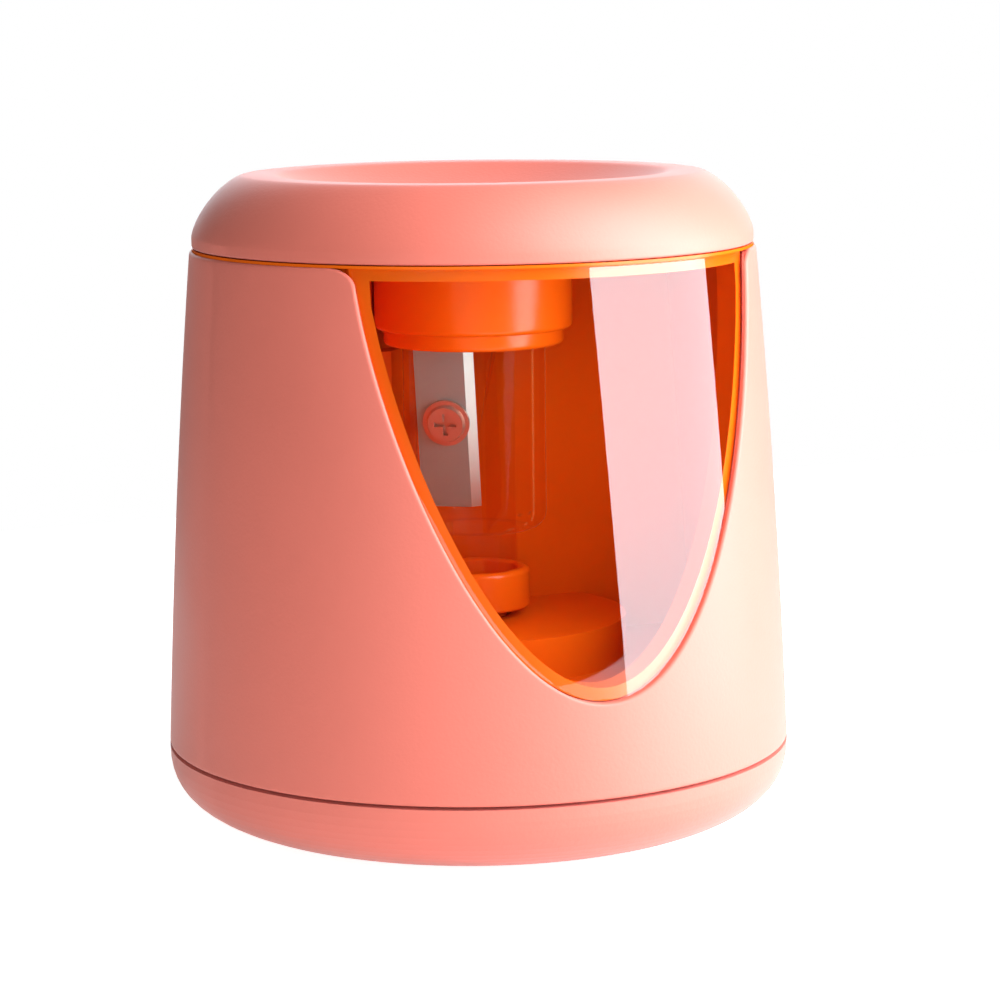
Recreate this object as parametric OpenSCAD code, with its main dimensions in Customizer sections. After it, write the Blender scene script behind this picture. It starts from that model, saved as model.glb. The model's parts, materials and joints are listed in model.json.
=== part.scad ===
/* [Body] */
// Largest radius of the casing, at the base seam
base_r = 41.5; // [41:0.1:42]
// Radius of the shell at its top edge
shell_top_r = 37.25; // [37:0.05:37.5]
// Height of the seam between base and shell
seam_z = 10.6; // [10.4:0.1:10.8]
// Height of the shell's top edge
shell_top_z = 76.4; // [76.3:0.1:76.5]
// How far the casing bulges between its ends
bulge = 0.38; // [0.2:0.02:0.5]
// Thickness of the outer shell
shell_wall = 2.0; // [1.8:0.1:2.0]
// Radius of the flat underside
bottom_r = 24.4; // [24:0.1:25]

/* [Window] */
// Half width of the cut-out at the top
window_half_w = 27.1; // [26.5:0.1:27.5]
// Height of the cut-out's lowest point
window_low_z = 22.9; // [22.5:0.1:23.5]
// Depth of the pane's face below the shell's face
pane_recess = 0.4; // [0.3:0.05:0.6]

/* [Lid] */
// Height of the lid's crest
lid_top_z = 86.2; // [86:0.1:86.4]
// Radius of the crest's inner edge
crest_r = 25.7; // [25:0.1:26.5]
// Radius of the pencil bore
pencil_bore_r = 4.1; // [4.0:0.05:4.2]

/* [Cutter] */
// Half angle of the sharpened point
cone_angle = 12; // [11.5:0.25:12.5]
// Height of the cone's apex
apex_z = 48.5; // [48:0.1:49]
// Turn of the cutter at rest
cutter_turn = -35; // [-60:1:0]
// Radius of the blade holder
holder_r = 9.48; // [9.3:0.02:9.5]

/* [Drive] */
// Gear module
gear_m = 0.5; // [0.5:0.5:0.5]
// Teeth of the motor pinion
pinion_teeth = 10; // [10:1:10]
// Teeth of the idler's large gear
idler_big_teeth = 42; // [42:1:42]
// Teeth of the idler's small gear
idler_small_teeth = 12; // [12:1:12]
// Teeth of the output gear
output_teeth = 42; // [42:1:42]
// Distance of the motor in front of the cutter's axis
motor_y = -18.5; // [-18.6:0.1:-18.4]

/* [Hidden] */
$fn = 96;

PINK = [0.97, 0.68, 0.64];
ORANGE = [0.90, 0.32, 0.04];
CLEAR = [0.95, 0.75, 0.62, 0.35];
STEEL = [0.74, 0.76, 0.77];
BRASS = [0.80, 0.62, 0.28];
NYLON = [0.93, 0.92, 0.87];
BLACK = [0.10, 0.10, 0.11];

base_z = 0.5;
floor_z = 2.0;
gap = 0.3;
steps = 12;

// Radius of the casing's outer face at a height above the base seam
function outer_r(z) = let (t = (z - seam_z) / (shell_top_z - seam_z))
    base_r + (shell_top_r - base_r) * t + 4 * bulge * t * (1 - t);

// Points of a face that stands a given depth inside the casing's outer face
function face(depth, z0, z1) = [for (i = [0:steps]) let (z = z0 + (z1 - z0) * i / steps)
    [outer_r(z) - depth, z]];

function reversed(points) = [for (i = [len(points) - 1:-1:0]) points[i]];

// Ring between two depths inside the casing's outer face
module band(depth0, depth1, z0, z1) {
    rotate_extrude() polygon(concat(face(depth0, z0, z1), reversed(face(depth1, z0, z1))));
}

// Solid of the casing's form, a given depth inside its outer face
module core(depth, z0, z1) {
    rotate_extrude() polygon(concat([[0, z0]], face(depth, z0, z1), [[0, z1]]));
}

// Window outline: a rounded U, found from its half width at each height
window_top_z = shell_top_z;
window_power = 1.56;
window_steps = 22;
function window_x(z) = window_half_w * sqrt(1 - pow(1 - (z - window_low_z) / (window_top_z - window_low_z),
    window_power));
function window_point(s) = let (z = window_low_z + (window_top_z - window_low_z) * s * s)
    [window_x(min(z, window_top_z)), z];
function window_normal(s) = let (
        a = window_point(max(s - 0.02, 0)),
        b = window_point(min(s + 0.02, 1)),
        d = s == 0 ? [1, 0] : b - a)
    [d[1], -d[0]] / norm(d);
function window_side(inset) = [for (i = [0:window_steps])
    let (s = i / window_steps) window_point(s) - inset * window_normal(s)];

// Prism of the window outline through the front wall, closed at a given height
module window_prism(inset, top) {
    side = window_side(inset);
    kept = [for (p = side) if (p[1] < top - 0.05) p];
    last = kept[len(kept) - 1];
    outline = concat(kept, [[last[0], top]], [[-last[0], top]],
        reversed([for (p = kept) if (p[0] > 0.01) [-p[0], p[1]]]));
    translate([0, -12, 0]) rotate([90, 0, 0]) linear_extrude(33) polygon(outline);
}

// ---- Lid ------------------------------------------------------------------

lid_low_z = 76.85;
lid_r = 36.92;
lid_wall = 1.8;
dish_z = 80.8;
guide_r = 6.5;
lid_turn_r = 30;
lid_turn_z = 78.2;
lid_screw_r = 28.3;
lid_screw_angles = [30, 115, 200];
lid_boss_low_z = 76.65;
lid_boss_h = 8.6;
lid_boss_r = 2.6;

// Rounded shoulder of the lid, a given thickness inside its outer face
function shoulder(wall) = [for (i = [0:10]) let (a = 90 * i / 10)
    [lid_turn_r + (lid_r - wall - lid_turn_r) * pow(cos(a), 2 / 1.45),
     lid_turn_z + (lid_top_z - wall - 0.05 - lid_turn_z) * pow(sin(a), 2 / 1.45)]];
// Dished top, from the crest in to the guide
function dish(drop) = [for (i = [0:14]) let (t = 1 - i / 14)
    [guide_r + 0.1 + (crest_r - guide_r - 0.1) * t,
     dish_z - drop + (lid_top_z - 0.15 - dish_z) * pow(t, 1.8)]];

module top_lid() {
    color(PINK) difference() {
        union() {
            rotate_extrude() polygon(concat(
                [[lid_r - lid_wall, lid_low_z], [lid_r, lid_low_z]], shoulder(0),
                [[27.6, lid_top_z]], dish(0), reversed(dish(lid_wall)),
                [[27.6, lid_top_z - lid_wall]], reversed(shoulder(lid_wall))));
            for (a = lid_screw_angles) rotate([0, 0, a]) translate([lid_screw_r, 0, lid_boss_low_z])
                cylinder(h = lid_boss_h, r = lid_boss_r);
        }
        for (a = lid_screw_angles) rotate([0, 0, a]) translate([lid_screw_r, 0, 76])
            cylinder(h = 6.5, r = 1.0);
    }
}

module pencil_guide() {
    color(ORANGE) difference() {
        union() {
            translate([0, 0, 78.6]) cylinder(h = 2.0, r = guide_r);
            translate([0, 0, 70.3]) cylinder(h = 9, r = 5.4);
        }
        translate([0, 0, 70]) cylinder(h = 12, r = pencil_bore_r);
        translate([0, 0, 79.6]) cylinder(h = 1.3, r1 = pencil_bore_r, r2 = pencil_bore_r + 1.4);
    }
}

liner_plate_r = 31.9;
collar_r = 13.1;
collar_bore_r = 10.7;
collar_low_z = 65.6;
plate_low_z = 75.1;
plate_top_z = 76.6;

module lid_liner() {
    color(ORANGE) difference() {
        union() {
            translate([0, 0, plate_low_z]) cylinder(h = plate_top_z - plate_low_z, r = liner_plate_r);
            translate([0, 0, collar_low_z]) cylinder(h = plate_low_z - collar_low_z + 0.1, r = collar_r);
        }
        translate([0, 0, collar_low_z - 1]) cylinder(h = 1 + 73.6 - collar_low_z, r = collar_bore_r);
        translate([0, 0, 70]) cylinder(h = 8, r = 5.5);
        for (a = lid_screw_angles) rotate([0, 0, a]) translate([lid_screw_r, 0, 74])
            cylinder(h = 4, r = 1.35);
    }
}

module lid_screws() {
    color(STEEL) for (a = lid_screw_angles) rotate([0, 0, a]) translate([lid_screw_r, 0, 0])
        pan_screw(plate_low_z, 1, 2.3, 1.4, 0.95, 6.6);
}

// Screw with its head's bearing face at z; dir 1 points the shank up
module pan_screw(z, dir, head_r, head_h, shank_r, length) {
    translate([0, 0, z]) scale_z(dir) difference() {
        union() {
            translate([0, 0, -head_h]) cylinder(h = head_h, r = head_r);
            cylinder(h = length, r = shank_r);
        }
        for (a = [0, 90]) rotate([0, 0, a])
            translate([-head_r * 0.55, -0.25, -head_h - 0.01]) cube([head_r * 1.1, 0.5, head_h * 0.6]);
    }
}

module scale_z(dir) {
    if (dir > 0) children();
    else mirror([0, 0, 1]) children();
}

// ---- Cutter ---------------------------------------------------------------

ring_low_z = 63.5;
flange_z = 67.5;
flange_h = 1.4;
holder_low_z = 38.8;
holder_top_z = 69.4;
neck_low_z = 29.1;
neck_r = 5.6;
holder_bore_r = 4.2;
flange_r = 10.4;
holder_top_r = 6.9;

module retaining_ring() {
    color(ORANGE) difference() {
        union() {
            translate([0, 0, ring_low_z]) cylinder(h = collar_low_z - ring_low_z, r = 11.9);
            translate([0, 0, ring_low_z]) cylinder(h = 66.4 - ring_low_z, r = collar_bore_r - 0.04);
        }
        translate([0, 0, ring_low_z - 1]) cylinder(h = 6, r = holder_r + 0.3);
    }
}

module thrust_washer() {
    color(NYLON) translate([0, 0, flange_z + flange_h + 0.1]) difference() {
        cylinder(h = 0.8, r = 10.35);
        translate([0, 0, -1]) cylinder(h = 3, r = 7.2);
    }
}

blade_w = 8;
blade_t = 0.5;
blade_l = 24;
bevel_w = 1.25;
edge_x = 0.5;
blade_low = -7.26;
blade_mid_x = edge_x - blade_w / 2;
blade_mid_z = blade_low + blade_l / 2;

// Frame of the blade: its back face is the plane y = 0, tangent to the point's cone
module blade_frame() {
    rotate([0, 0, cutter_turn]) translate([0, 0, apex_z]) rotate([cone_angle, 0, 0]) children();
}

module blade_holder() {
    corner = 2.2;
    profile = concat([[0, holder_low_z]],
        [for (a = [0:15:90])
            [holder_r - corner + corner * sin(a), holder_low_z + corner - corner * cos(a)]],
        [[holder_r, flange_z], [flange_r, flange_z], [flange_r, flange_z + flange_h],
         [holder_top_r, flange_z + flange_h], [holder_top_r, holder_top_z], [0, holder_top_z]]);
    cone_top_z = apex_z + holder_bore_r / tan(cone_angle);
    color(CLEAR) difference() {
        union() {
            rotate_extrude() polygon(profile);
            rotate([0, 0, cutter_turn]) translate([0, 0, neck_low_z])
                cylinder(h = holder_low_z - neck_low_z + 0.5, r = neck_r, $fn = 8);
        }
        translate([0, 0, apex_z]) cylinder(h = cone_top_z - apex_z, r1 = 0, r2 = holder_bore_r);
        translate([0, 0, cone_top_z - 0.01]) cylinder(h = 4, r = holder_bore_r);
        blade_frame() {
            // seat of the blade, open to the front
            translate([edge_x - blade_w - 0.1, -15, blade_low - 0.2])
                cube([blade_w + 2.8, 15, blade_l + 0.4]);
            // gap in front of the cutting edge, where the shavings leave
            translate([edge_x - 0.2, -15, -5]) cube([2.9, 16, 21]);
            translate([blade_mid_x, 6.2, blade_mid_z]) rotate([90, 0, 0]) cylinder(h = 8, r = 1.2);
        }
    }
}

module blade() {
    color(STEEL) blade_frame() difference() {
        translate([0, 0, blade_low]) linear_extrude(blade_l)
            polygon([[edge_x - blade_w, 0], [edge_x, 0], [edge_x - bevel_w, -blade_t],
                [edge_x - blade_w, -blade_t]]);
        translate([blade_mid_x, 1, blade_mid_z]) rotate([90, 0, 0]) cylinder(h = 3, r = 1.35);
    }
}

module blade_screw() {
    color([0.80, 0.45, 0.33]) blade_frame() translate([blade_mid_x, -blade_t, blade_mid_z])
        rotate([90, 0, 0]) difference() {
            union() {
                cylinder(h = 0.5, r = 3.15);
                translate([0, 0, 0.5]) cylinder(h = 0.6, r1 = 2.6, r2 = 2.35);
                translate([0, 0, -5.5]) cylinder(h = 5.6, r = 1.15);
            }
            for (a = [0, 90]) rotate([0, 0, a]) translate([-1.5, -0.3, 0.4]) cube([3, 0.6, 1]);
        }
}

// ---- Casing ---------------------------------------------------------------

shell_low_z = seam_z + 0.4;
boss_radius = 34.3;
boss_angles = [-90, 30, 150];
boss_low_z = 5.3;
boss_top_z = 19;
boss_r = 3.0;
boss_bore_r = 1.1;

module body_shell() {
    color(PINK) difference() {
        union() {
            band(0, shell_wall, shell_low_z, shell_top_z);
            for (a = boss_angles) rotate([0, 0, a]) {
                translate([boss_radius, 0, boss_low_z]) cylinder(h = boss_top_z - boss_low_z, r = boss_r);
                translate([boss_radius + 1, -1, 14.6])
                    cube([outer_r(boss_top_z) - boss_radius - 2, 2, 4.4]);
            }
        }
        difference() {
            window_prism(0, 80);
            core(shell_wall + 6, shell_low_z, shell_top_z);
        }
        for (a = boss_angles) rotate([0, 0, a]) translate([boss_radius, 0, 4])
            cylinder(h = 12, r = boss_bore_r);
    }
}

pane_in = 1.15;
pane_gap = 0.12;
pane_top_z = 76.2;

module window_pane() {
    color([0.95, 0.97, 0.98, 0.3]) intersection() {
        band(pane_recess, pane_in, window_low_z - 1, pane_top_z);
        window_prism(pane_gap, pane_top_z);
    }
}

liner_out = 3.2;
liner_wall = 1.5;
trough_z = 21.5;
platform_z = 27.1;
platform_r = 20;
partition_y = 7;
lip_depth = 1.2;
lip_inset = 1.75;
flange_depth = 2.05;
lip_cover = 0.8;
recess_r = 11.4;
collar_recess_r = 13.6;
collar_recess_z = 62.2;
chamber_top_z = 74.8;
plate_room_r = 32.3;
rim_in_r = 32.9;
rim_out_r = 36.95;
rim_depth = 3.6;
rim_low_z = 73;
rim_h = 0.35;

// Form of the chamber, grown by a wall: a D in plan, with a round recess behind
// the cutter that is wider where the collar hangs
module chamber_form(grow) {
    translate([-50, -50, 10]) cube([100, 50 + partition_y + grow, 70]);
    translate([0, 0, 10]) cylinder(h = 70, r = recess_r + grow);
    translate([0, 0, collar_recess_z - grow]) cylinder(h = 20, r = collar_recess_r + grow);
}

module chamber_liner() {
    color(ORANGE) difference() {
        union() {
            intersection() {
                core(liner_out, trough_z - liner_wall, shell_top_z + 0.2);
                chamber_form(liner_wall);
            }
            // rim that hangs on the shell's top edge
            rotate_extrude() polygon([[rim_in_r, rim_low_z], [outer_r(rim_low_z) - rim_depth, rim_low_z],
                [shell_top_r - rim_depth, shell_top_z], [rim_out_r, shell_top_z],
                [rim_out_r, shell_top_z + rim_h], [rim_in_r, shell_top_z + rim_h]]);
            // lip that the pane rests on, round the window
            intersection() {
                band(lip_depth, liner_out + 0.2, window_low_z - 1, shell_top_z + 0.1);
                window_prism(pane_gap + 0.03, shell_top_z + 1);
            }
            // flange of the lip behind the shell
            intersection() {
                band(flange_depth, liner_out + 0.3, window_low_z - 2, shell_top_z + 0.15);
                window_prism(-lip_cover, shell_top_z + 1);
            }
        }
        // room for the lid's liner plate inside the rim
        translate([0, 0, chamber_top_z]) cylinder(h = 5, r = plate_room_r);
        difference() {
            intersection() {
                core(liner_out + liner_wall, trough_z, 77);
                chamber_form(0);
            }
            translate([0, 0, 10]) cylinder(h = platform_z - 10, r = platform_r);
        }
        translate([0, 0, 10]) cylinder(h = platform_z - liner_wall - 10, r = platform_r - liner_wall);
        translate([0, 0, 10]) cylinder(h = 30, r = 4.6);
        difference() {
            window_prism(lip_inset, 74.9);
            core(12, 15, 78);
        }
    }
}

// Outer form of the base, with a superellipse edge between the flat and the seam
base_power = 2.5;
function base_face(inset, low) = [for (i = [0:16]) let (a = 90 * i / 16)
    [bottom_r + (base_r - inset - bottom_r) * pow(sin(a), 2 / base_power),
     seam_z - (seam_z - low) * pow(cos(a), 2 / base_power)]];

module base_form() {
    rotate_extrude() polygon(concat([[0, base_z]], base_face(0, base_z), [[0, seam_z]]));
}

cell_x = 8.4;
cell_y = 21.6;
cell_r = 7.25;
cell_low_z = 2.6;
cell_l = 50.5;
door_half_w = 16.4;
door_y0 = 13.2;
door_y1 = 29.6;
door_corner = 6;
guide_hole_r = 1.27;

module rounded_rect(x0, y0, x1, y1, r) {
    union() {
        translate([x0 + r, y0]) square([x1 - x0 - 2 * r, y1 - y0]);
        translate([x0, y0 + r]) square([x1 - x0, y1 - y0 - 2 * r]);
        for (x = [x0 + r, x1 - r]) for (y = [y0 + r, y1 - r]) translate([x, y]) circle(r = r);
    }
}

module cell_plan(r) {
    union() {
        for (s = [-1, 1]) translate([s * cell_x, cell_y]) circle(r = r);
        translate([-cell_x, cell_y - r]) square([2 * cell_x, 2 * r]);
    }
}

post_places = [[16.5, -24.5], [-16.5, -24.5], [18, 3.5], [-18, 3.5]];
chassis_z = 14.6;
chassis_h = 1.6;
foot_places = [[15, -17.5], [-15, -17.5], [20.8, 12.6], [-20.8, 12.6]];
foot_r = 3.4;
post_r = 2.3;
tray_boss_r = 3.4;
plunger_guide_r = 2.2;
screw_head_z = 4.4;
screw_recess_r = 2.6;
plug_top_z = 3.0;
tray_boss_top_z = 5.15;

module base_tray() {
    color(PINK) difference() {
        union() {
            difference() {
                base_form();
                rotate_extrude() polygon(concat([[0, floor_z]], base_face(shell_wall, floor_z),
                    [[0, seam_z]]));
            }
            // spigot that the shell sits over
            band(shell_wall + 0.2, shell_wall + 1.7, seam_z - 1.6, seam_z + 3.4);
            band(shell_wall - 0.6, shell_wall + 1.7, seam_z - 1.6, seam_z);
            for (a = boss_angles) intersection() {
                rotate([0, 0, a]) translate([boss_radius, 0, 0])
                    cylinder(h = tray_boss_top_z, r = tray_boss_r);
                base_form();
            }
            for (p = post_places) translate([p[0], p[1], floor_z - 0.1])
                cylinder(h = chassis_z - floor_z + 0.1, r = post_r);
            // guide of the switch plunger
            translate([0, 0, floor_z - 0.1]) cylinder(h = 1.5, r = plunger_guide_r);
        }
        for (a = boss_angles) rotate([0, 0, a]) {
            translate([boss_radius, 0, -1]) cylinder(h = 1 + screw_head_z, r = screw_recess_r);
            translate([boss_radius, 0, 2]) cylinder(h = 6, r = 1.4);
        }
        for (p = post_places) translate([p[0], p[1], 6]) cylinder(h = 10, r = 0.9);
        translate([0, 0, 1.2]) cylinder(h = 5, r = guide_hole_r);
        for (p = foot_places) translate([p[0], p[1], -1]) cylinder(h = 2.2, r = foot_r);
        translate([0, 0, -1]) linear_extrude(2.55)
            rounded_rect(-door_half_w - gap, door_y0 - gap, door_half_w + gap, door_y1 + gap,
                door_corner + gap);
        translate([0, 0, -1]) linear_extrude(5) cell_plan(cell_r + 0.35);
    }
}

module base_screws() {
    color(STEEL) for (a = boss_angles) rotate([0, 0, a]) translate([boss_radius, 0, 0])
        pan_screw(screw_head_z, 1, 2.3, 1.3, 1.05, 11.5);
}

// Caps that close the screw recesses, flush with the underside
module screw_plugs() {
    color(PINK) for (a = boss_angles) intersection() {
        rotate([0, 0, a]) translate([boss_radius, 0, 0])
            cylinder(h = plug_top_z, r = screw_recess_r - 0.05);
        base_form();
    }
}

module feet() {
    color(BLACK) for (p = foot_places) translate([p[0], p[1], 0]) cylinder(h = 1.2, r = foot_r);
}

module battery_door() {
    color(PINK) difference() {
        union() {
            intersection() {
                base_form();
                linear_extrude(1.4) rounded_rect(-door_half_w, door_y0, door_half_w, door_y1, door_corner);
            }
            // rib that carries the link strip, inside the cell opening
            translate([-6, cell_y - 3, 1.3]) cube([12, 6, 0.6]);
        }
        // finger notch
        translate([-5, door_y0 + 1.5, -0.2]) cube([10, 1.2, 1.2]);
    }
}

module door_link() {
    color(BRASS) difference() {
        translate([-12, cell_y - 2.5, 1.9]) cube([24, 5, 0.3]);
        translate([0, cell_y, 0]) cylinder(h = 4, r = 1);
    }
}

// ---- Batteries and wiring --------------------------------------------------

cage_wall = 0.9;
wire_x = 7;
wire_y = 18.7;
cage_low_z = 2.6;
cage_top_z = 58.4;

module battery_cage() {
    color(BLACK) difference() {
        translate([0, 0, cage_low_z]) linear_extrude(cage_top_z - cage_low_z)
            cell_plan(cell_r + 0.3 + cage_wall);
        for (s = [-1, 1]) translate([s * cell_x, cell_y, cage_low_z - 1])
            cylinder(h = cage_top_z - cage_low_z, r = cell_r + 0.3);
        // finger slot and drain through the back wall
        translate([-4, cell_y + 4, 12]) cube([8, 8, 30]);
        for (s = [-1, 1]) translate([s * wire_x - 1, wire_y - 1, cage_top_z - 2]) cube([2, 2, 3]);
    }
}

module battery_cells() {
    color([0.25, 0.27, 0.30]) for (s = [-1, 1]) translate([s * cell_x, cell_y, cell_low_z]) union() {
        cylinder(h = 49.3, r = cell_r);
        translate([0, 0, s > 0 ? 49.2 : -0.2]) cylinder(h = s > 0 ? 1.2 : 0.3, r = 2.7);
    }
}

contact_z = 56.9;

module top_contacts() {
    color(STEEL) for (s = [-1, 1]) translate([s * cell_x, cell_y, contact_z]) difference() {
        translate([-4, -4, 0]) cube([8, 8, 0.35]);
        translate([0, 0, -1]) cylinder(h = 3, r = 0.8);
    }
}

// Point on a helix that rises from z0 to z1
function coil_point(r0, r1, z0, z1, turns, t) = [
    (r0 + (r1 - r0) * t) * cos(360 * turns * t),
    (r0 + (r1 - r0) * t) * sin(360 * turns * t),
    z0 + (z1 - z0) * t];

// Tube swept along points, with a ring of sides at each
module tube(points, r, sides) {
    n = len(points);
    rings = [for (i = [0:n - 1]) let (
            a = points[max(i - 1, 0)],
            b = points[min(i + 1, n - 1)],
            d = (b - a) / norm(b - a),
            ref = abs(d[2]) > 0.9 ? [0, 1, 0] : [0, 0, 1],
            u = cross(ref, d) / norm(cross(ref, d)),
            v = cross(d, u))
        [for (k = [0:sides - 1]) points[i] + r * (cos(360 * k / sides) * u + sin(360 * k / sides) * v)]];
    polyhedron(
        points = [for (ring = rings) for (p = ring) p],
        faces = concat(
            [[for (k = [sides - 1:-1:0]) k]],
            [for (i = [0:n - 2]) for (k = [0:sides - 1])
                [i * sides + k, i * sides + (k + 1) % sides, (i + 1) * sides + (k + 1) % sides,
                 (i + 1) * sides + k]],
            [[for (k = [0:sides - 1]) (n - 1) * sides + k]]));
}

module contact_springs() {
    color(STEEL) {
        translate([-cell_x, cell_y, 0]) tube([for (i = [0:56])
            coil_point(3.6, 2.0, contact_z - 0.3, cell_low_z + 49.6, 3.5, i / 56)], 0.22, 6);
        translate([cell_x, cell_y, 0]) tube([for (i = [0:40])
            coil_point(3.2, 2.2, contact_z - 0.3, cell_low_z + cell_l + 0.2, 2.5, i / 40)], 0.22, 6);
    }
}

// Smooth route through hand-set points
function spline(p, t) = let (
        n = len(p) - 1,
        i = min(floor(t * n), n - 1),
        f = t * n - i,
        a = p[max(i - 1, 0)],
        b = p[i],
        c = p[i + 1],
        d = p[min(i + 2, n)])
    0.5 * (2 * b + (c - a) * f + (2 * a - 5 * b + 4 * c - d) * f * f + (3 * b - a - 3 * c + d) * f * f * f);

wire_r = 0.6;
module wire(route, count) {
    tube([for (i = [0:count]) spline(route, i / count)], wire_r, 8);
}

red_route = [[7, 18.7, 57.4], [7, 18.7, 58.6], [8.2, 17.2, 60], [10.6, 14.2, 59.6], [12.3, 11.8, 57],
    [12.5, 11.2, 51], [12.5, 11.2, 38], [12.5, 11.2, 28], [12.5, 11, 19], [13, 9, 12], [13.6, 4, 9],
    [13.4, -2, 8.5], [12, -6.2, 8.3], [9.7, -8.8, 8.2]];
black_route = [[-7, 18.7, 57.4], [-7, 18.7, 58.6], [-8.2, 17.2, 60], [-10.6, 14.2, 59.6],
    [-12.3, 11.8, 57], [-12.5, 11.2, 51], [-12.5, 11.2, 38], [-12.5, 11.2, 28], [-12.5, 11, 19],
    [-11.5, 9.4, 11], [-8, 7.4, 6.4], [-4.4, 6.6, 4.6]];
link_route = [[4.4, 6.6, 4.4], [6.4, 5.6, 4.6], [8.4, 1.6, 5], [7.6, -3, 5.3], [5.85, -6.05, 5.4]];

module red_wire() {
    color([0.75, 0.08, 0.07]) wire(red_route, 56);
}

module black_wire() {
    color([0.06, 0.06, 0.07]) wire(black_route, 48);
}

module link_wire() {
    color([0.80, 0.78, 0.74]) wire(link_route, 20);
}

// ---- Drive ----------------------------------------------------------------

pinion_r = gear_m * pinion_teeth / 2;
idler_big_r = gear_m * idler_big_teeth / 2;
idler_small_r = gear_m * idler_small_teeth / 2;
output_r = gear_m * output_teeth / 2;
first_centres = pinion_r + idler_big_r;
second_centres = idler_small_r + output_r;
// The idler's axis lies at both centre distances
idler_y = (first_centres * first_centres - second_centres * second_centres - motor_y * motor_y)
    / (-2 * motor_y);
idler_x = sqrt(second_centres * second_centres - idler_y * idler_y);
to_motor = atan2(motor_y - idler_y, -idler_x);
to_output = atan2(-idler_y, -idler_x);

addendum = 0.8;
dedendum = 1.15;
pressure = 20;
backlash = 0.07;
function involute(rb, r) = r <= rb ? 0 : sqrt(r * r / (rb * rb) - 1) * 180 / PI - acos(rb / r);
// Half angle of a tooth at a radius
function tooth_angle(teeth, r) = let (pitch = gear_m * teeth / 2, rb = pitch * cos(pressure))
    90 / teeth + involute(rb, pitch) - involute(rb, max(r, rb)) - backlash / pitch * 180 / PI;

// Spur gear with a tooth centred on +X
module gear(teeth) {
    pitch = gear_m * teeth / 2;
    root = pitch - dedendum * gear_m;
    tip = pitch + addendum * gear_m;
    rb = pitch * cos(pressure);
    flank = [for (i = [0:4]) max(root, rb) + (tip - max(root, rb)) * i / 4];
    radii = concat(root < rb ? [root] : [], flank);
    polygon([for (k = [0:teeth - 1]) for (p = concat(
        [for (r = radii) [r, -tooth_angle(teeth, r)]],
        reversed([for (r = radii) [r, tooth_angle(teeth, r)]])))
        [p[0] * cos(360 * k / teeth + p[1]), p[0] * sin(360 * k / teeth + p[1])]]);
}

idler_low_z = 17.0;
idler_big_h = 2.2;
idler_top_z = 24.6;
output_low_z = 20.6;
output_h = 3.2;
shaft_r = 1.5;
motor_shaft_r = 1.0;
motor_low_z = 2.5;
motor_r = 12.2;
motor_h = 11.9;

module chassis() {
    color(NYLON) translate([0, 0, chassis_z]) linear_extrude(chassis_h) difference() {
        union() {
            polygon([[-20, -24.5], [-16.5, -28], [16.5, -28], [20, -24.5], [21.5, 3.5], [18, 7],
                [-18, 7], [-21.5, 3.5]]);
            for (p = post_places) translate(p) circle(r = 3.6);
        }
        for (p = post_places) translate(p) circle(r = 1.25);
        circle(r = 3.02);
        translate([0, motor_y]) circle(r = 3.3);
        translate([idler_x, idler_y]) circle(r = 1.0);
        translate([-13, -14]) circle(r = 3.5);
    }
}

module chassis_screws() {
    color(STEEL) for (p = post_places) translate([p[0], p[1], 0])
        pan_screw(chassis_z + chassis_h, -1, 2.1, 1.2, 0.85, 7.5);
}

module motor_can() {
    color([0.72, 0.73, 0.74]) translate([0, motor_y, motor_low_z]) difference() {
        union() {
            cylinder(h = motor_h, r = motor_r);
            cylinder(h = motor_h + 1, r = 3.1);
            // terminals
            for (t = [[45, 5.5], [65, 2.7]]) rotate([0, 0, t[0]]) translate([motor_r - 0.3, -0.6, t[1]])
                cube([1.6, 1.2, 0.4]);
        }
        translate([0, 0, 1.1]) cylinder(h = motor_h - 2.2, r = motor_r - 0.9);
        translate([0, 0, 0.5]) cylinder(h = motor_h + 2, r = motor_shaft_r + 0.06);
    }
}

module motor_magnets() {
    color([0.22, 0.22, 0.23]) translate([0, motor_y, motor_low_z + 2.6]) difference() {
        cylinder(h = 7.4, r = motor_r - 0.9);
        translate([0, 0, -1]) cylinder(h = 10, r = 9.0);
        translate([-1.5, -20, -1]) cube([3, 40, 10]);
    }
}

module armature() {
    color([0.62, 0.35, 0.18]) translate([0, motor_y, 0]) difference() {
        union() {
            for (a = [0, 120, 240]) rotate([0, 0, a]) translate([0, -2, motor_low_z + 3.4])
                cube([7.6, 4, 5.6]);
            translate([0, 0, motor_low_z + 2.0]) cylinder(h = 8, r = 2.6);
        }
        cylinder(h = 20, r = motor_shaft_r);
    }
}

module motor_shaft() {
    color(STEEL) translate([0, motor_y, motor_low_z + 0.6]) cylinder(h = 16.7, r = motor_shaft_r);
}

module pinion() {
    color(BRASS) translate([0, motor_y, 16.8]) difference() {
        rotate([0, 0, to_motor + 180 + 180 / pinion_teeth]) linear_extrude(2.6) gear(pinion_teeth);
        translate([0, 0, -1]) cylinder(h = 5, r = motor_shaft_r);
    }
}

module idler_gear() {
    color(NYLON) translate([idler_x, idler_y, 0]) difference() {
        union() {
            translate([0, 0, idler_low_z]) rotate([0, 0, to_motor]) linear_extrude(idler_big_h)
                gear(idler_big_teeth);
            translate([0, 0, idler_low_z + idler_big_h]) rotate([0, 0, to_output])
                linear_extrude(idler_top_z - idler_low_z - idler_big_h) gear(idler_small_teeth);
        }
        translate([0, 0, 10]) cylinder(h = 20, r = 1.06);
        for (a = [0:60:300]) rotate([0, 0, a]) translate([6.6, 0, 10]) cylinder(h = 12, r = 1.8);
    }
}

module idler_axle() {
    color(STEEL) translate([idler_x, idler_y, chassis_z]) cylinder(h = 10.6, r = 1.0);
}

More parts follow.
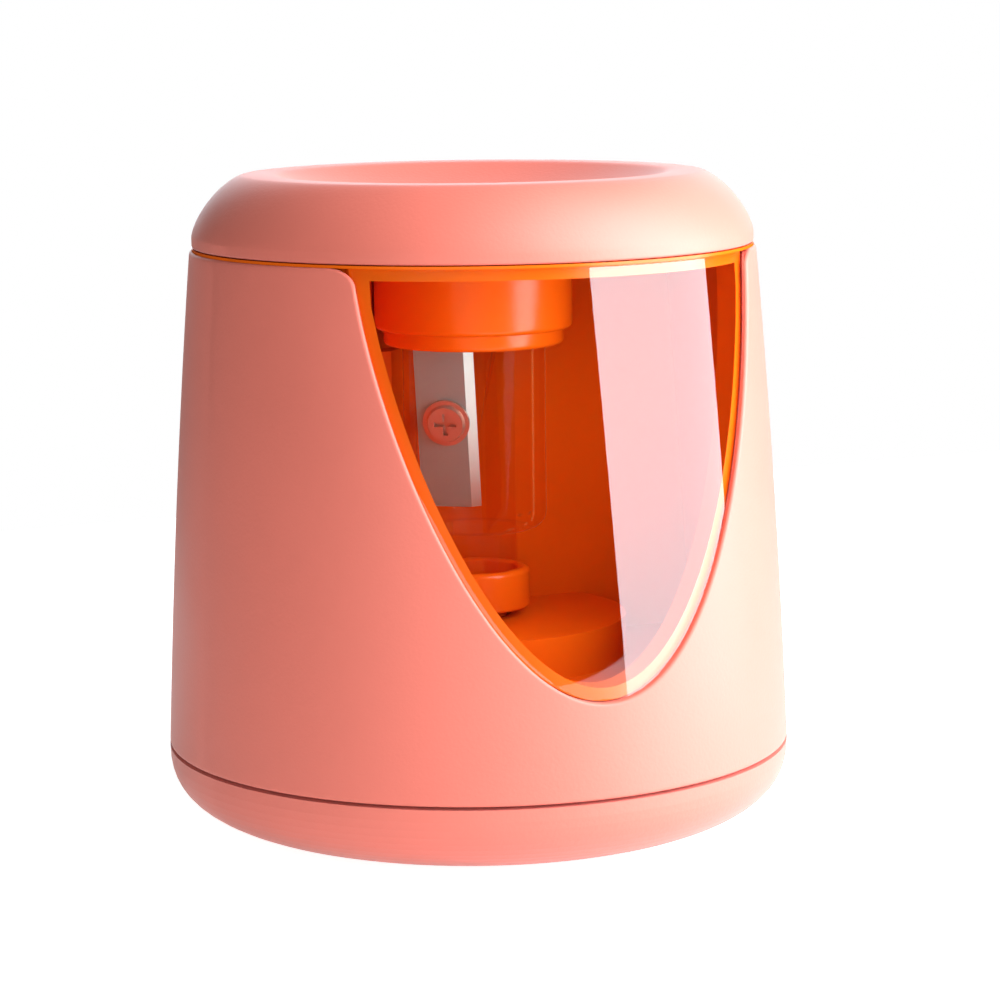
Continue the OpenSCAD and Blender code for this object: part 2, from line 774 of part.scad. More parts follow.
module output_gear() {
    color(NYLON) difference() {
        union() {
            translate([0, 0, output_low_z]) rotate([0, 0, to_output + 180 + 180 / output_teeth])
                linear_extrude(output_h) gear(output_teeth);
            translate([0, 0, output_low_z + output_h - 0.1]) cylinder(h = 0.75, r = 3.2);
        }
        translate([0, 0, 10]) cylinder(h = 20, r = shaft_r);
        for (a = [0:60:300]) rotate([0, 0, a]) translate([6.4, 0, 10]) cylinder(h = 20, r = 1.9);
    }
}

shaft_low_z = 8.6;

module output_shaft() {
    color(STEEL) translate([0, 0, shaft_low_z]) cylinder(h = 27.9 - shaft_low_z, r = shaft_r);
}

module output_bush() {
    color(BRASS) difference() {
        union() {
            translate([0, 0, 13.4]) cylinder(h = 3.2, r = 3.0);
            translate([0, 0, 13.6]) cylinder(h = 1.0, r = 4.2);
        }
        translate([0, 0, 10]) cylinder(h = 10, r = shaft_r + 0.06);
    }
}

hub_r = 7.1;
hub_low_z = 28.1;
hub_top_z = 33.5;

module drive_hub() {
    color(ORANGE) difference() {
        union() {
            rotate_extrude() polygon([[0, hub_low_z], [hub_r - 0.6, hub_low_z], [hub_r, hub_low_z + 0.6],
                [hub_r, hub_top_z - 0.6], [hub_r - 0.6, hub_top_z], [0, hub_top_z]]);
            translate([0, 0, 24.5]) cylinder(h = hub_low_z - 24.4, r = 4.0);
        }
        rotate([0, 0, cutter_turn]) translate([0, 0, neck_low_z - 0.1])
            cylinder(h = 6, r = neck_r + 0.27, $fn = 8);
        translate([0, 0, 24]) cylinder(h = 3.9, r = shaft_r);
    }
}

// ---- Switch ---------------------------------------------------------------

plunger_r = 4.0;
pivot_y = 8.6;
pivot_z = 6.5;

module switch_plunger() {
    color(BLACK) union() {
        translate([0, 0, 6.7]) cylinder(h = shaft_low_z - 0.1 - 6.7, r = plunger_r);
        translate([0, 0, 2.6]) cylinder(h = 4.2, r = 1.2);
    }
}

module return_spring() {
    color(STEEL) tube([for (i = [0:72]) coil_point(1.75, 1.75, 3.75, 6.45, 4, i / 72)], 0.2, 6);
}

module micro_switch() {
    color(BLACK) difference() {
        union() {
            translate([-3.2, 4.8, floor_z]) cube([6.4, 6, 3.0]);
            translate([0, 6.4, 4.9]) cylinder(h = 0.35, r = 0.7);
            for (s = [-1, 1]) translate([s * 2.6 - 0.5, pivot_y - 1, 4.9]) cube([1, 2, 2.4]);
            // terminals
            for (s = [-1, 1]) translate([s * 3.5 - 0.5, 6.1, 3.6]) cube([1, 1, 0.5]);
        }
        translate([-5, pivot_y, pivot_z]) rotate([0, 90, 0]) cylinder(h = 10, r = 0.4);
    }
}

module switch_lever() {
    color(STEEL) difference() {
        union() {
            translate([-1.2, 2.6, 6.0]) cube([2.4, pivot_y - 2.6, 0.3]);
            translate([-1.8, pivot_y, pivot_z]) rotate([0, 90, 0]) cylinder(h = 3.6, r = 0.8);
        }
        translate([-5, pivot_y, pivot_z]) rotate([0, 90, 0]) cylinder(h = 10, r = 0.45);
    }
}

module lever_pin() {
    color(BRASS) translate([-3.1, pivot_y, pivot_z]) rotate([0, 90, 0]) cylinder(h = 6.2, r = 0.4);
}

top_lid();
pencil_guide();
lid_liner();
lid_screws();
retaining_ring();
thrust_washer();
blade_holder();
blade();
blade_screw();
body_shell();
window_pane();
chamber_liner();
base_tray();
base_screws();
screw_plugs();
feet();
battery_door();
door_link();
battery_cage();
battery_cells();
top_contacts();
contact_springs();
chassis();
chassis_screws();
motor_can();
motor_magnets();
armature();
motor_shaft();
pinion();
idler_gear();
idler_axle();
output_gear();
output_shaft();
output_bush();
drive_hub();
switch_plunger();
return_spring();
micro_switch();
switch_lever();
lever_pin();
red_wire();
black_wire();
link_wire();
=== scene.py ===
import json
import math

import bpy
import numpy as np
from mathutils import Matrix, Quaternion, Vector


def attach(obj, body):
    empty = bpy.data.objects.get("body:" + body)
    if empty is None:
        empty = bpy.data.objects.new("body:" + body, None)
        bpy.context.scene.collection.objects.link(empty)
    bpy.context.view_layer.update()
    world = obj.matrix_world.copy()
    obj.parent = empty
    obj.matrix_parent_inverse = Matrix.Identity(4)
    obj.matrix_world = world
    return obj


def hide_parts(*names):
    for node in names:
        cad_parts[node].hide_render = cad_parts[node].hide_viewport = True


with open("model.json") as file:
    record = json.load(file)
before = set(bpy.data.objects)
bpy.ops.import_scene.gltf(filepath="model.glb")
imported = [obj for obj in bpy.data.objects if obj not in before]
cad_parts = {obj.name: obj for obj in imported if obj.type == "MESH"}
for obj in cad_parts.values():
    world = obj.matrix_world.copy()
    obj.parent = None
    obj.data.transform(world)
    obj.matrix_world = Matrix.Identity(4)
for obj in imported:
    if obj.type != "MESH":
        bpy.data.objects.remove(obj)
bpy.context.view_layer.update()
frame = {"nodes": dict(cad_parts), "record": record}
scene = bpy.context.scene
MM = 0.001
NEAR = 1e-6  # a height or an angle this close to an edge counts as on it

# ---- Form of the casing, in millimetres ------------------------------------

BASE_R, TOP_R, SEAM_Z, TOP_Z, BULGE = 41.5, 37.25, 10.6, 76.4, 0.38
WALL = 2.0
SHELL_LOW_Z = SEAM_Z + 0.4
WINDOW_HALF_W, WINDOW_LOW_Z, WINDOW_POWER = 27.1, 22.9, 1.56
WINDOW_FLARE_R = 2.2  # of the cut-out's top corners, where it opens into the rim
TURN = math.radians(-35)  # turn of the cutter at rest


def outer_r(z):
    """Radius of the casing at a height: a cone with a slight bulge."""
    t = (z - SEAM_Z) / (TOP_Z - SEAM_Z)
    return BASE_R + (TOP_R - BASE_R) * t + 4 * BULGE * t * (1 - t)


def window_x(z, corner=0.0):
    """Half width of the cut-out at a height; its top corners may flare out by a radius."""
    t = np.clip((z - WINDOW_LOW_Z) / (TOP_Z - WINDOW_LOW_Z), 0, 1)
    x = WINDOW_HALF_W * np.sqrt(1 - (1 - t) ** WINDOW_POWER)
    if corner:
        up = np.clip(z - (TOP_Z - corner), 0, corner)
        x = x + corner - np.sqrt(corner**2 - up**2)
    return x


# ---- Mesh helpers ------------------------------------------------------------


def build(name, verts, faces, body, slot, replaces, angle):
    """
    A mesh piece from points in millimetres, that rides on a body, takes a slot's material and
    replaces CAD nodes. Its shading stays sharp where faces meet at more than an angle in degrees.
    """
    mesh = bpy.data.meshes.new(name)
    mesh.from_pydata([tuple(v) for v in np.asarray(verts, float) * MM], [], faces)
    mesh.validate()
    mesh.update()
    piece = bpy.data.objects.new(name, mesh)
    scene.collection.objects.link(piece)
    mesh.polygons.foreach_set("use_smooth", [True] * len(mesh.polygons))
    mesh.set_sharp_from_angle(angle=math.radians(angle))
    mesh.materials.append(MATERIALS[slot])
    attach(piece, body)
    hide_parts(*replaces)
    return piece


def joined(*parts):
    """Several (verts, faces) pairs as one."""
    verts, faces, start = [], [], 0
    for v, f in parts:
        verts.extend([tuple(p) for p in v])
        faces.extend([tuple(i + start for i in face) for face in f])
        start += len(v)
    return verts, faces


def wrapped_grid(rows):
    """Faces of a grid of points that closes on itself both ways."""
    n, m = len(rows), len(rows[0])
    verts = [p for row in rows for p in row]
    faces = [
        (
            i * m + j,
            i * m + (j + 1) % m,
            ((i + 1) % n) * m + (j + 1) % m,
            ((i + 1) % n) * m + j,
        )
        for i in range(n)
        for j in range(m)
    ]
    return verts, faces


def rounded(points, radii, steps):
    """A closed outline with its corners rounded; a radius of 0 keeps a corner."""
    out, n = [], len(points)
    for i, r in enumerate(radii):
        p = np.array(points[i], float)
        if r == 0:
            out.append(p)
            continue
        a = np.array(points[i - 1], float) - p
        b = np.array(points[(i + 1) % n], float) - p
        la, lb = np.linalg.norm(a), np.linalg.norm(b)
        a, b = a / la, b / lb
        half = math.acos(float(np.clip(a @ b, -1, 1))) / 2
        reach = min(r / math.tan(half), la * 0.49, lb * 0.49)
        r = reach * math.tan(half)
        centre = p + (a + b) / np.linalg.norm(a + b) * r / math.sin(half)
        s, e = p + a * reach - centre, p + b * reach - centre
        sweep = math.atan2(s[0] * e[1] - s[1] * e[0], s @ e)
        for k in range(steps + 1):
            t = sweep * k / steps
            cos, sin = math.cos(t), math.sin(t)
            out.append(centre + np.array([s[0] * cos - s[1] * sin, s[0] * sin + s[1] * cos]))
    return out


def lathe(outline, segments, centre=(0, 0)):
    """A closed (r, z) outline turned round a vertical axis."""
    turns = [2 * math.pi * k / segments for k in range(segments)]
    rows = [
        [(centre[0] + r * math.cos(a), centre[1] + r * math.sin(a), z) for a in turns]
        for r, z in outline
    ]
    return wrapped_grid(rows)


def bosses(angles, distance, bore, radius, low_z, top_z, fillet, segments):
    """Screw bosses with rounded edges, at angles in degrees round the axis."""
    corners = [(bore, low_z), (radius, low_z), (radius, top_z), (bore, top_z)]
    outline = rounded(corners, [fillet] * 4, 3)
    for a in angles:
        x, y = distance * math.cos(math.radians(a)), distance * math.sin(math.radians(a))
        yield lathe(outline, segments, (x, y))


# ---- Materials ---------------------------------------------------------------

NOISE_SPAN = (0.3, 0.7)  # where nearly all of a noise texture's values lie


def tree(name):
    """A new material, its empty node tree and the tree's output."""
    mat = bpy.data.materials.new(name)
    mat.use_nodes = True
    nt = mat.node_tree
    nt.nodes.clear()
    return mat, nt, nt.nodes.new("ShaderNodeOutputMaterial")


def add(nt, kind, links=(), **values):
    """A node with its plain values set and its links made, each a (socket, source) pair."""
    node = nt.nodes.new("ShaderNode" + kind)
    for key, value in values.items():
        if key in node.inputs:
            node.inputs[key].default_value = value
        elif key.replace("_", " ") in node.inputs:
            node.inputs[key.replace("_", " ")].default_value = value
        else:
            setattr(node, key, value)
    for socket, source in links:
        nt.links.new(source, node.inputs[socket])
    return node


def blotches(nt, where, scale, detail=2.0, stretch=(1, 1, 1)):
    """Noise in the object's own space, between 0 and 1."""
    mapping = add(nt, "Mapping", [("Vector", where)], Scale=stretch)
    noise = add(
        nt, "TexNoise", [("Vector", mapping.outputs["Vector"])], Scale=scale, Detail=detail
    )
    return noise.outputs["Fac"]


def tinted(nt, fac, colour, spread):
    """The colour, a little darker and lighter by the noise."""
    ramp = add(nt, "ValToRGB", [("Fac", fac)])
    for end, place, k in zip(ramp.color_ramp.elements, NOISE_SPAN, (1 - spread, 1 + spread)):
        end.position = place
        end.color = [min(c * k, 1) for c in colour] + [1]
    return ramp.outputs["Color"]


def ranged(nt, value, low, high, span=NOISE_SPAN):
    """A value's span, by default the noise's, stretched to run from low to high."""
    return add(
        nt,
        "MapRange",
        [("Value", value)],
        From_Min=span[0],
        From_Max=span[1],
        To_Min=low,
        To_Max=high,
    ).outputs["Result"]


def bumped(nt, height, distance):
    """A normal from the noise's relief, its depth in metres."""
    return add(nt, "Bump", [("Height", height)], Strength=1.0, Distance=distance).outputs["Normal"]


def moulded(
    name, colour, rough, grain=2200, depth=2e-5, spread=0.04, specular=0.5, **more
):
    """Moulded plastic: a fine grain in the surface, soft flow marks in colour and gloss."""
    mat, nt, out = tree(name)
    where = add(nt, "TexCoord").outputs["Object"]
    flow = blotches(nt, where, 55, 3)
    fine = blotches(nt, where, grain, 2)
    shader = add(
        nt,
        "BsdfPrincipled",
        [
            ("Base Color", tinted(nt, flow, colour, spread)),
            ("Roughness", ranged(nt, flow, rough - 0.04, rough + 0.04)),
            ("Normal", bumped(nt, fine, depth)),
        ],
        **{"Specular IOR Level": specular, **more},
    )
    nt.links.new(shader.outputs[0], out.inputs["Surface"])
    return mat


def metal(name, colour, rough, stretch=(1, 1, 30), depth=3e-6, scale=900, spread=0.05):
    """Metal with fine drawn or ground lines along one axis."""
    mat, nt, out = tree(name)
    where = add(nt, "TexCoord").outputs["Object"]
    lines = blotches(nt, where, scale, 3, stretch)
    stain = blotches(nt, where, 120, 3)
    shader = add(
        nt,
        "BsdfPrincipled",
        [
            ("Base Color", tinted(nt, stain, colour, spread)),
            ("Roughness", ranged(nt, lines, rough * 0.7, rough * 1.3)),
            ("Normal", bumped(nt, lines, depth)),
        ],
        Metallic=1.0,
    )
    nt.links.new(shader.outputs[0], out.inputs["Surface"])
    return mat


def clear(name, tint, rim, reflect):
    """
    Clear moulded plastic seen straight through: tint where it faces the eye and rim at grazing,
    and reflecting from the first to the second share in reflect.
    """
    mat, nt, out = tree(name)
    where = add(nt, "TexCoord").outputs["Object"]
    wave = bumped(nt, blotches(nt, where, 45, 1), 6e-6)
    facing = add(nt, "LayerWeight", Blend=0.5).outputs["Facing"]
    steep = add(nt, "Math", [(0, facing)], operation="POWER")
    steep.inputs[1].default_value = 5.0
    share = ranged(nt, steep.outputs[0], *reflect, span=(0.0, 1.0))
    colour = stepped(nt, facing, [(0.55, tint), (0.97, rim)])
    through = add(nt, "BsdfTransparent", [("Color", colour)])
    gloss = add(
        nt,
        "BsdfPrincipled",
        [("Normal", wave)],
        **{"Base Color": (1, 1, 1, 1), "Metallic": 1.0, "Roughness": 0.02},
    )
    mix = add(nt, "MixShader", [("Fac", share), (1, through.outputs[0]), (2, gloss.outputs[0])])
    return mat, nt, out, mix.outputs[0]


def stepped(nt, fac, stops):
    """A colour ramp through (place, colour) stops."""
    ramp = add(nt, "ValToRGB", [("Fac", fac)])
    while len(ramp.color_ramp.elements) < len(stops):
        ramp.color_ramp.elements.new(0.5)
    for stop, (place, colour) in zip(ramp.color_ramp.elements, stops):
        stop.position, stop.color = place, colour
    return ramp.outputs["Color"]


def pane_front(name):
    """The pane's front, which mirrors the softbox beside it."""
    tint, rim = (0.985, 0.98, 0.975, 1), (0.9, 0.9, 0.9, 1)
    mat, nt, out, surface = clear(name, tint, rim, (0.072, 0.9))
    nt.links.new(surface, out.inputs["Surface"])
    return mat


def holder_plastic(name):
    """Clear plastic with painted reflections: orange diffuse colour in paler lines along its edges
    stands in for the orange round it.
    """
    tint, rim = (0.99, 0.94, 0.90, 1), (0.95, 0.84, 0.74, 1)
    mat, nt, out, surface = clear(name, tint, rim, (0.003, 0.2))
    # painted reflection: bands set by how squarely the surface faces the eye, palest near the
    # outline, where orange diffuse colour is mixed in
    facing = add(nt, "LayerWeight", Blend=0.5).outputs["Facing"]
    dark, pale, line = (0, 0, 0, 1), (0.5, 0.5, 0.5, 1), (0.3, 0.3, 0.3, 1)
    stops = [(0.40, dark), (0.43, line), (0.46, dark), (0.82, dark), (0.93, pale), (1.0, dark)]
    painted_edge_lines = stepped(nt, facing, stops)
    where = add(nt, "TexCoord").outputs["Object"]
    # the orange of the painted reflection at the edges
    colour = tinted(nt, blotches(nt, where, 300, 2), (0.85, 0.30, 0.08), 0.1)
    painted_reflection = add(nt, "BsdfDiffuse", [("Color", colour)])
    mix = add(nt, "MixShader", [("Fac", painted_edge_lines), (1, surface), (2, painted_reflection.outputs[0])])
    nt.links.new(mix.outputs[0], out.inputs["Surface"])
    return mat


def unseen(name, tint):
    """For the pane's back and sides, which only tint what is behind them."""
    mat, nt, out = tree(name)
    where = add(nt, "TexCoord").outputs["Object"]
    colour = tinted(nt, blotches(nt, where, 20), tint, 0.004)
    through = add(nt, "BsdfTransparent", [("Color", colour)])
    nt.links.new(through.outputs[0], out.inputs["Surface"])
    return mat


BEVEL_LEAN, BEVEL_LEAN_SPREAD = 0.371, 0.15  # cosine between the bevel and the way across


def ground_blade(name, across, flat, bevel):
    """
    A ground blade, from (colour, metallic, roughness) of its flat and of its bevel. The bevel is
    found by how far its face leans along the direction across. The bevel's paler colour is a
    painted highlight where it catches the light; its smoother, more metallic setting is the ground
    finish.
    """
    mat, nt, out = tree(name)
    coord = add(nt, "TexCoord")
    lean = add(nt, "VectorMath", [(0, coord.outputs["Normal"])], operation="DOT_PRODUCT")
    lean.inputs[1].default_value = across
    on_bevel = add(nt, "Math", [(0, lean.outputs["Value"])], operation="COMPARE")
    on_bevel.inputs[1].default_value = BEVEL_LEAN
    on_bevel.inputs[2].default_value = BEVEL_LEAN_SPREAD
    stain = blotches(nt, coord.outputs["Object"], 160, 2)
    lines = blotches(nt, coord.outputs["Object"], 500, 2, (1, 1, 6))
    # the bevel's side takes the paler colour, a painted highlight
    sides = []
    for colour, metallic, rough in (flat, bevel):
        sides.append(
            add(
                nt,
                "BsdfPrincipled",
                [
                    ("Base Color", tinted(nt, stain, colour, 0.03)),
                    ("Roughness", ranged(nt, stain, rough * 0.9, rough * 1.1)),
                    ("Normal", bumped(nt, lines, 1e-6)),
                ],
                Metallic=metallic,
            )
        )
    links = [("Fac", on_bevel.outputs[0])]
    links += [(i + 1, side.outputs[0]) for i, side in enumerate(sides)]
    mix = add(nt, "MixShader", links)
    nt.links.new(mix.outputs[0], out.inputs["Surface"])
    return mat


MATERIALS = {
    "pink_plastic": moulded(
        "pink_plastic",
        (0.77, 0.19, 0.138),
        0.5,
        depth=2.5e-5,
        spread=0.02,
        **{"Sheen Weight": 0.15, "Sheen Roughness": 0.4},
    ),
    "orange_plastic": moulded(
        "orange_plastic",
        (0.84, 0.135, 0.003),
        0.24,
        grain=700,
        depth=4e-6,
        spread=0.03,
        specular=0.35,
    ),
    "clear_plastic": holder_plastic("clear_plastic"),
    "steel": metal("steel", (0.72, 0.73, 0.73), 0.28),
    "plated": metal("plated", (0.72, 0.70, 0.68), 0.18, depth=1e-6),
    "brass": metal("brass", (0.78, 0.58, 0.25), 0.26),
    "nylon": moulded("nylon", (0.80, 0.78, 0.70), 0.45, **{"Subsurface Weight": 0.1}),
    "black_plastic": moulded("black_plastic", (0.02, 0.02, 0.022), 0.42, spread=0.15),
    "rubber": moulded("rubber", (0.03, 0.03, 0.03), 0.75, grain=1500, depth=6e-5, spread=0.2),
    "cell_jacket": moulded("cell_jacket", (0.035, 0.045, 0.06), 0.22, depth=3e-6, spread=0.1),
    "ferrite": moulded("ferrite", (0.03, 0.03, 0.032), 0.6, depth=4e-5, spread=0.25),
    "winding": metal("winding", (0.55, 0.22, 0.08), 0.3, (1, 1, 1), 2e-5, 1500, 0.2),
    "red_sleeve": moulded("red_sleeve", (0.45, 0.015, 0.012), 0.38, depth=6e-6),
    "white_sleeve": moulded("white_sleeve", (0.72, 0.70, 0.66), 0.4, depth=6e-6),
}
# nodes whose material isn't just their slot's
OWN_MATERIAL = {
    "blade": ground_blade(
        "blade_steel",
        (math.cos(TURN), math.sin(TURN), 0),
        flat=((0.34, 0.47, 0.47), 0.5, 0.42),
        # paler than the flat: a painted highlight on the bevel; its higher metallic and lower
        # roughness are the ground finish
        bevel=((0.60, 0.68, 0.68), 0.9, 0.3),
    ),
    "blade_screw": moulded("screw_copper", (0.62, 0.42, 0.34), 0.3, depth=1e-6, Metallic=0.7),
}

slot_of = {s["node"]: s["material_slot"] for s in frame["record"]["subparts"]}
for node, obj in frame["nodes"].items():
    obj.data.materials.clear()
    obj.data.materials.append(OWN_MATERIAL.get(node, MATERIALS[slot_of[node]]))

# ---- Shell with the rounded-U cut-out -----------------------------------------


def on_casing(angle, z, depth=0.0):
    """Point of the casing; angle 0 is the middle of the window, which faces -Y."""
    r = outer_r(z) - depth
    return np.array([r * math.sin(angle), -r * math.cos(angle), z])


def casing_normal(angle, z):
    """Outward unit normal of the casing."""
    slope = (outer_r(z + 0.01) - outer_r(z - 0.01)) / 0.02
    n = np.array([math.sin(angle), -math.cos(angle), -slope])
    return n / np.linalg.norm(n)


def drop(distance, radius):
    """How far a rounded edge falls away at a distance from the edge."""
    d = np.clip(radius - distance, 0, radius)
    return radius - math.sqrt(radius**2 - d**2)


def top_edge():
    """Half of the upper edge, as (angle, z): the cut-out, its corner, then the rim to the back."""
    corner = WINDOW_FLARE_R
    heights = [WINDOW_LOW_Z + (TOP_Z - WINDOW_LOW_Z) * (k / 64) ** 2 for k in range(64)]
    heights = [z for z in heights if z < TOP_Z - corner - 0.3]
    heights += [TOP_Z - corner + corner * math.sin(math.radians(a)) for a in range(0, 90, 10)]
    edge = []
    for z in heights:
        x = float(window_x(z, corner))
        edge.append((math.asin(x / outer_r(z)), z))
    first = math.asin((WINDOW_HALF_W + corner) / TOP_R)
    edge += [(first + (math.pi - first) * k / 60, TOP_Z) for k in range(61)]
    return edge


def foot_angle(k, in_window, in_all):
    """Where column k, counted from the window's middle, ends on the lower edge."""
    side = math.radians(88)  # reached by the last column that starts on the cut-out
    if k < in_window:
        return side * (k / (in_window - 1)) ** 1.15
    return side + (math.pi - side) * (k - in_window + 1) / (in_all - in_window)


def shell_mesh():
    """
    The shell as columns of points, each from a point of the upper edge down to the lower edge
    outside and back up inside. The upper edge is rounded, the lower edge only outside.
    """
    half = top_edge()
    edge = [(-a, z) for a, z in half[:0:-1]][1:] + half  # from the back round to the back
    n, middle = len(edge), len(half) - 2
    in_window = sum(1 for a, z in half if z < TOP_Z - NEAR)
    sides = [on_casing(a, z) for a, z in edge]
    fillet, low_fillet = 0.4, 0.3
    # shares of the way down, closer together at both edges
    down = [0, 0.012, 0.03, 0.055, 0.09, *np.linspace(0.13, 0.93, 26)]
    down += [0.96, 0.98, 0.99, 0.995, 0.998, 0.9993, 1.0]
    columns = []
    for j, (angle, z) in enumerate(edge):
        normal = casing_normal(angle, z)
        tangent = sides[(j + 1) % n] - sides[j - 1]
        away = np.cross(normal, tangent / np.linalg.norm(tangent))
        level = abs(away[2]) <= 0.05
        if (level and away[0] * sides[j][0] < 0) or (not level and away[2] > 0):
            away = -away
        centre = sides[j] + fillet * away - fillet * normal
        arc = [
            centre + fillet * (math.cos(q) * normal - math.sin(q) * away)
            for q in np.radians([90, 75, 60, 45, 30, 15])
        ]
        start = sides[j] + fillet * away
        start_a, start_z = math.atan2(start[0], -start[1]), start[2]
        if abs(angle) > math.pi - NEAR:
            start_a = angle
        k = abs(j - middle)
        foot = math.copysign(foot_angle(k, in_window, len(half)), angle) if k else 0.0
        outer = []
        for t in down:
            a, h = start_a + (foot - start_a) * t, start_z + (SHELL_LOW_Z - start_z) * t
            outer.append(on_casing(a, h, drop(h - SHELL_LOW_Z, low_fillet)))
        wall_a = angle
        if z < TOP_Z - NEAR:
            wall_a = math.asin(np.clip(sides[j][0] / (outer_r(z) - WALL), -0.999, 0.999))
        inner = []
        for t in np.linspace(1, 0, 16):
            a, h = wall_a + (foot - wall_a) * t, z + (SHELL_LOW_Z - z) * t
            inner.append(on_casing(a, h, WALL))
        columns.append(arc + outer + inner)
    rows = [[c[i] for c in columns] for i in range(len(columns[0]))]
    return wrapped_grid(rows)


SHELL_BOSS_ANGLES, SHELL_BOSS_AT = (-90, 30, 150), 34.3
SHELL_BOSS = (1.1, 3.0, 5.3, 19.0, 0.2, 40)  # bore, radius, low and top z, fillet, segments

verts, faces = joined(shell_mesh(), *bosses(SHELL_BOSS_ANGLES, SHELL_BOSS_AT, *SHELL_BOSS))
build("shell_skin", verts, faces, "casing", "pink_plastic", ["body_shell"], 35)

# ---- Window pane ---------------------------------------------------------------

PANE_TOP_Z = 76.2
PANE_FRONT, PANE_BEHIND = 0.4, 1.15  # depths of the pane's faces under the casing's surface


def pane_mesh():
    """A curved pane that fills the cut-out and rests on the liner's lip."""
    inset, chamfer = 0.15, 0.1
    us = np.linspace(-1, 1, 61)

    def outline(s, shrink):
        """Half width and height of the pane's edge, a share s of the way up."""
        z = WINDOW_LOW_Z + shrink + (PANE_TOP_Z - WINDOW_LOW_Z - shrink) * s * s
        base = WINDOW_LOW_Z + (TOP_Z - WINDOW_LOW_Z) * s * s
        return float(window_x(base)) - shrink * min(1.0, s * 6), z

    rows = []
    for s in np.linspace(0, 1, 56):
        x, z = outline(s, inset + chamfer)
        row = [(u * x, z, PANE_FRONT) for u in us]
        x, z = outline(s, inset)
        row += [(x, z, PANE_FRONT + chamfer)]
        row += [(u * x, z, PANE_BEHIND) for u in us[::-1]]
        row += [(-x, z, PANE_FRONT + chamfer)]
        rows.append(row)
    verts, m = [], len(rows[0])
    for row in rows:
        for x, z, depth in row:
            r = outer_r(z) - depth
            verts.append((x, -math.sqrt(max(r * r - x * x, 0)), z))
    faces = []
    for i in range(len(rows) - 1):
        for j in range(m):
            k = (j + 1) % m
            faces.append((i * m + j, i * m + k, (i + 1) * m + k, (i + 1) * m + j))
    top = (len(rows) - 1) * m
    faces.append(tuple(range(top, top + m)))
    faces.append(tuple(range(m)))
    return verts, faces


verts, faces = pane_mesh()
pane = build("pane_skin", verts, faces, "casing", "clear_plastic", ["window_pane"], 35)
pane.data.materials[0] = unseen("pane_back", (0.99, 0.99, 0.99))
pane.data.materials.append(pane_front("pane_plastic"))
for polygon in pane.data.polygons:
    centre = polygon.center / MM
    depth = outer_r(centre.z) - math.hypot(centre.x, centre.y)
    if depth < PANE_FRONT + 0.07 and WINDOW_LOW_Z + 0.6 < centre.z < PANE_TOP_Z - 0.1:
        polygon.material_index = 1

# ---- Lid -------------------------------------------------------------------------

LID_R, LID_LOW_Z, LID_TOP_Z, LID_WALL = 36.92, 76.85, 86.2, 1.8
SHOULDER_R, SHOULDER_Z, SHOULDER_POWER = 30.0, 78.2, 2 / 1.45
CREST_R, DISH_R, DISH_Z, DISH_POWER = 25.7, 6.6, 80.8, 1.8
CREST_MID_R = 27.6


def shoulder(wall, a):
    """Point of the lid's rounded shoulder, a wall inside its outer face, at an angle in degrees."""
    cos, sin = math.cos(math.radians(a)), math.sin(math.radians(a))
    return (
        SHOULDER_R + (LID_R - wall - SHOULDER_R) * cos**SHOULDER_POWER,
        SHOULDER_Z + (LID_TOP_Z - wall - 0.05 - SHOULDER_Z) * sin**SHOULDER_POWER,
    )


def dish(t, drop=0.0):
    """Point of the dish, from t = 0 at the guide to t = 1 at the crest."""
    rise = LID_TOP_Z - 0.15 - DISH_Z
    return DISH_R + (CREST_R - DISH_R) * t, DISH_Z - drop + rise * t**DISH_POWER


def lid_outline():
    """The lid's section: its lower edge, up the outside, down the dish and back underneath."""
    inside = LID_R - LID_WALL
    edge = [(inside, 80), (inside, LID_LOW_Z), (LID_R, LID_LOW_Z), (LID_R, 80)]
    out = rounded(edge, [0, 0.25, 0.35, 0], 5)[1:-1]
    out += [shoulder(0, 90 * k / 41) for k in range(41)]
    crest = [(29.2, 0.015), (28.4, 0), (CREST_MID_R, 0), (26.9, 0.02), (26.3, 0.07)]
    out += [(r, LID_TOP_Z - low) for r, low in crest]
    out += [dish(1 - k / 40, 0.02 * (1 - k / 40)) for k in range(41)]
    out += [(DISH_R, DISH_Z - 1.6), (DISH_R + 0.3, DISH_Z - LID_WALL)]
    out += [dish(k / 20, LID_WALL) for k in range(1, 21)]
    out.append((CREST_MID_R, LID_TOP_Z - LID_WALL))
    out += [shoulder(LID_WALL, 90 * k / 20) for k in range(20, -1, -1)]
    return out


LID_BOSS_ANGLES, LID_BOSS_AT = (30, 115, 200), 28.3
LID_BOSS = (1.0, 2.6, 76.65, 84.6, 0.15, 36)  # bore, radius, low and top z, fillet, segments

verts, faces = joined(lathe(lid_outline(), 224), *bosses(LID_BOSS_ANGLES, LID_BOSS_AT, *LID_BOSS))
build("lid_skin", verts, faces, "lid", "pink_plastic", ["top_lid"], 40)

# ---- Orange pieces that hang from the lid -------------------------------------------

PENCIL_BORE_R, GUIDE_R, GUIDE_FLANGE_R, GUIDE_Z = 4.1, 5.4, 6.5, (70.3, 78.6, 80.6)
PLATE_R, PLATE_HOLE_R, PLATE_LOW_Z, PLATE_TOP_Z = 31.9, 5.5, 75.1, 76.6
COLLAR_R, COLLAR_BORE_R, COLLAR_LOW_Z, COLLAR_BORE_TOP_Z = 13.1, 10.7, 65.6, 73.6
RING_R, RING_BORE_R, RING_SPIGOT_R, RING_LOW_Z, RING_TOP_Z = 11.9, 9.78, 10.66, 63.5, 66.4


def turned(name, node, outline, steps, segments):
    """A turned orange piece of the lid, from the (r, z, fillet) corners of its section."""
    corners, radii = [c[:2] for c in outline], [c[2] for c in outline]
    verts, faces = lathe(rounded(corners, radii, steps), segments)
    build(name, verts, faces, "lid", "orange_plastic", [node], 40)


